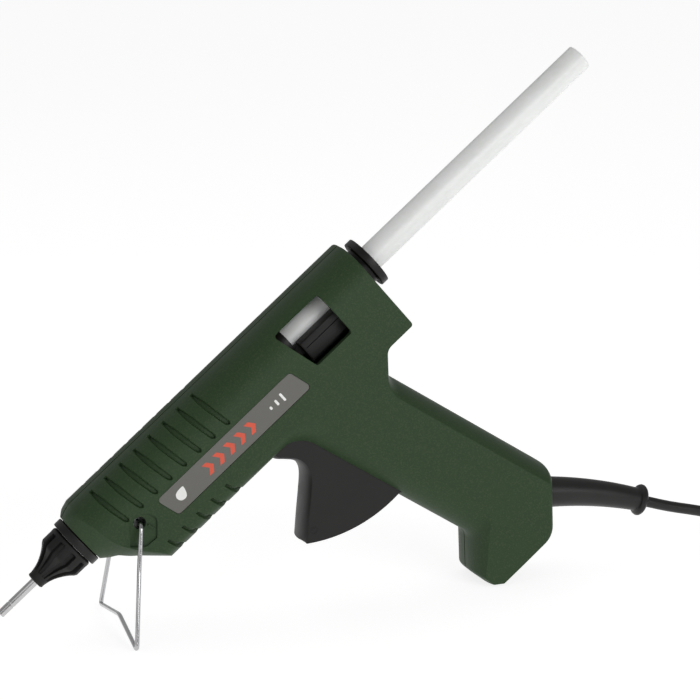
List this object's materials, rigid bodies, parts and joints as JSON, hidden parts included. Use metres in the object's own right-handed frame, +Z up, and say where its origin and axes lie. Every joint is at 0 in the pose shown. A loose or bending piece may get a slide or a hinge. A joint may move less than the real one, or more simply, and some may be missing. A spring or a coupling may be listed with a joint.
{
  "type": "glue gun",
  "caption": "Green and black hot-melt glue gun resting on its fold-out wire stand, with a glue stick loaded and a coiled mains cord.",
  "frame": {"origin": "On the floor under the middle of the gun, measured over nozzle tip, glue stick and stand, without the cord.", "axes": "+X runs level from the nozzle towards the free end of the glue stick, +Y runs across to the far half of the casing, +Z points up. The barrel climbs about 39 degrees towards +X."},
  "size_m": [0.4016, 0.1003, 0.215],
  "materials": {
    "casing_green": "fine spark-eroded grain",
    "black_plastic": "fine grain",
    "sleeve_black": "matt heat-proof rubber",
    "cord_black": "satin",
    "chrome_wire": "bright plated wire",
    "steel": "turned and plated",
    "aluminium": "die cast",
    "brass": "sheet",
    "glue": "translucent white hot-melt glue",
    "silicone": "matt",
    "ceramic": "fired ceramic",
    "label_grey": "satin printed film",
    "lead_sleeve": "glass-fibre sleeving"
  },
  "bodies": {
    "body": {"casing_near": "casing_green", "casing_far": "casing_green", "label_strip": "label_grey", "nose_ring": "black_plastic", "nozzle_sleeve": "sleeve_black", "nozzle": "steel", "melt_chamber": "aluminium", "contact_upper": "brass", "contact_lower": "brass", "ptc_heater": "ceramic", "feed_tube": "silicone", "tube_band": "steel", "rear_collar": "black_plastic", "trigger_pin": "steel", "return_spring": "steel", "casing_screw_1": "steel", "casing_screw_2": "steel", "casing_screw_3": "steel", "casing_screw_4": "steel", "casing_screw_5": "steel", "strain_relief": "cord_black", "cord_inner": "cord_black", "cord_clamp": "black_plastic", "clamp_screw_1": "steel", "clamp_screw_2": "steel", "lead_live": "lead_sleeve", "lead_neutral": "lead_sleeve", "mains_cord": "cord_black", "cord_coil": "cord_black", "cord_tail": "cord_black", "cord_tie": "black_plastic", "plug_body": "cord_black", "plug_pin_a": "steel", "plug_pin_b": "steel"},
    "trigger_body": {"trigger": "black_plastic"},
    "stick": {"glue_stick": "glue"},
    "carriage": {"feed_carriage": "black_plastic", "jaw_pin": "steel"},
    "jaw": {"grip_jaw": "steel"},
    "stand": {"wire_stand": "chrome_wire"}
  },
  "joints": [
    {"name": "trigger_pull", "type": "hinge", "parent": "body", "child": "trigger_body", "pos_m": [-0.00413, 0, 0.08802], "axis": [0, -1, 0], "range_deg": [0, 20], "stiffness_Nm_per_rad": 0.35, "springref_deg": -6.88, "deforming": ["return_spring"]},
    {"name": "carriage_slide", "type": "slide", "parent": "body", "child": "carriage", "axis": [-0.7791, 0, -0.6269], "range_m": [0, 0.00592]},
    {"name": "jaw_bite", "type": "hinge", "parent": "carriage", "child": "jaw", "pos_m": [0.01961, 0, 0.11611], "axis": [0, 1, 0], "range_deg": [0, 5]},
    {"name": "stick_feed", "type": "slide", "parent": "body", "child": "stick", "axis": [-0.7791, 0, -0.6269], "range_m": [0, 0.00592]},
    {"name": "stand_fold", "type": "hinge", "parent": "body", "child": "stand", "pos_m": [-0.07143, 0, 0.04645], "axis": [0, -1, 0], "range_deg": [0, 102]}
  ],
  "couplings": [
    {"joint": "carriage_slide", "follows": "trigger_pull", "m_per_rad": 0.0164},
    {"joint": "stick_feed", "follows": "trigger_pull", "m_per_rad": 0.0164},
    {"joint": "jaw_bite", "follows": "trigger_pull", "ratio": 0.2}
  ]
}
